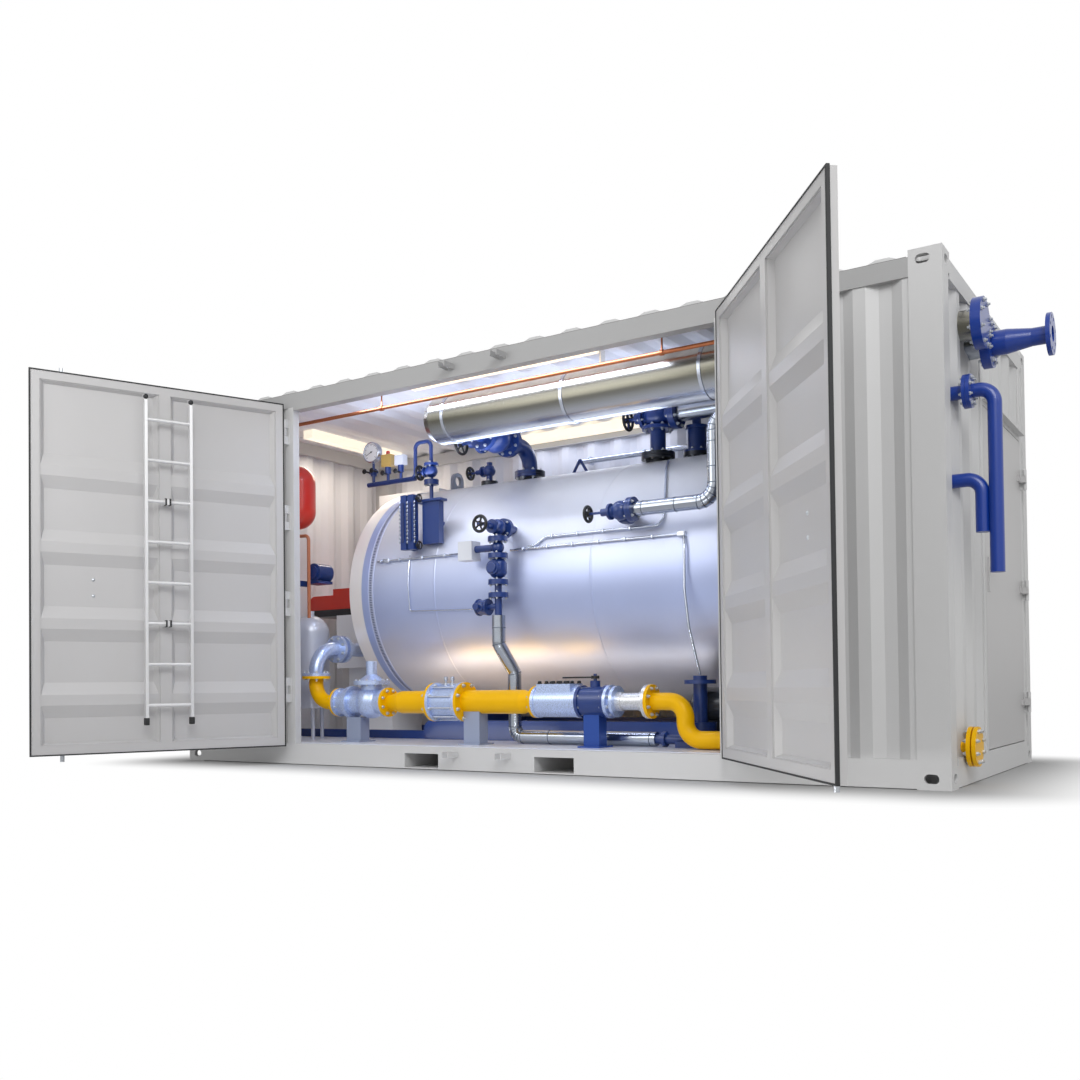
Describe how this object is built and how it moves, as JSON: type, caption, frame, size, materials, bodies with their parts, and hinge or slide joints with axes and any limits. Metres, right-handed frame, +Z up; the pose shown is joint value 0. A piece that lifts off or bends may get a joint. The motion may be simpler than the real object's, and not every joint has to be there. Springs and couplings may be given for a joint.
{
  "type": "containerised steam boiler plant",
  "caption": "Corrugated steel container with open double doors housing a lagged horizontal steam boiler, burner, gas train, valves and outlet pipes; doors swing and handwheels turn.",
  "frame": {"origin": "ground level under the centre of the container, midway between the four lower corner apertures", "axes": "+X along the container towards the end with the outlet pipes, +Y from the large doors to the back wall, +Z up"},
  "size_m": [6.494, 4.1648, 2.896],
  "materials": {
    "container_paint": "satin",
    "floor_steel": "tread plate",
    "door_paint": "satin",
    "zinc_steel": "galvanised",
    "lagging": "bright sheet",
    "boiler_paint": "satin",
    "blue_paint": "gloss",
    "white_paint": "gloss",
    "red_paint": "gloss",
    "yellow_paint": "gloss",
    "cast_fittings": "silver paint",
    "black_paint": "satin",
    "copper_pipe": "bright copper",
    "lamp_cover": "frosted"
  },
  "bodies": {
    "container": {"corner_castings": "container_paint", "corner_posts": "container_paint", "bottom_rails": "container_paint", "base_crossmembers": "container_paint", "top_rails": "container_paint", "roof": "container_paint", "back_wall": "container_paint", "left_end_wall": "container_paint", "front_wall_panels": "container_paint", "right_end_wall": "container_paint", "end_door_posts": "container_paint", "door_jambs": "container_paint", "door_hinge_brackets": "container_paint", "floor_plate": "floor_steel", "boiler_shell": "lagging", "steam_header": "lagging", "lagged_lines": "lagging", "boiler_front": "boiler_paint", "boiler_rear": "boiler_paint", "boiler_skid": "blue_paint", "steam_outlets": "blue_paint", "vent_pipes": "blue_paint", "main_steam_valve": "blue_paint", "boiler_top_valves": "blue_paint", "feed_valve": "blue_paint", "desalting_valves": "blue_paint", "level_gauge": "blue_paint", "instrument_manifold": "blue_paint", "gas_valve": "blue_paint", "gas_supports": "blue_paint", "feed_pump": "blue_paint", "dosing_pump": "blue_paint", "burner_housing": "white_paint", "control_cabinet": "white_paint", "dosing_vessel": "white_paint", "burner_cover": "red_paint", "expansion_vessel": "red_paint", "gas_line": "yellow_paint", "gas_fittings": "cast_fittings", "gas_riser": "cast_fittings", "ceiling_pipe": "copper_pipe", "luminaires": "lamp_cover"},
    "left_door": {"left_door_leaf": "door_paint", "left_lock_rod": "zinc_steel", "left_door_ladder": "zinc_steel"},
    "right_door": {"right_door_leaf": "door_paint", "right_lock_rod": "zinc_steel"},
    "end_door": {"end_door_leaf": "door_paint"},
    "main_steam_wheel": {"main_steam_handwheel": "black_paint"},
    "feed_wheel": {"feed_handwheel": "black_paint"},
    "desalting_wheel": {"desalting_handwheel": "black_paint"},
    "gas_valve_lever": {"gas_lever": "black_paint"}
  },
  "joints": [
    {"name": "left_door_hinge", "type": "hinge", "parent": "container", "child": "left_door", "pos_m": [-1.851, -1.259, 0], "axis": [0, 0, -1], "range_deg": [-112, 53]},
    {"name": "right_door_hinge", "type": "hinge", "parent": "container", "child": "right_door", "pos_m": [1.777, -1.259, 0], "axis": [0, 0, 1], "range_deg": [-129, 36]},
    {"name": "end_door_hinge", "type": "hinge", "parent": "container", "child": "end_door", "pos_m": [3.059, 0.974, 0], "axis": [0, 0, 1], "range_deg": [0, 110]},
    {"name": "main_steam_wheel_turn", "type": "hinge", "parent": "container", "child": "main_steam_wheel", "pos_m": [-0.905, -0.255, 2.52], "axis": [1, 0, 0], "continuous": true},
    {"name": "feed_wheel_turn", "type": "hinge", "parent": "container", "child": "feed_wheel", "pos_m": [0.582, -0.79, 1.748], "axis": [1, 0, 0], "continuous": true},
    {"name": "desalting_wheel_turn", "type": "hinge", "parent": "container", "child": "desalting_wheel", "pos_m": [-0.17, -1.016, 1.726], "axis": [0, 1, 0], "continuous": true},
    {"name": "gas_lever_turn", "type": "hinge", "parent": "container", "child": "gas_valve_lever", "pos_m": [0.681, -0.89, 0.634], "axis": [0, 0, 1], "range_deg": [0, 90]}
  ]
}
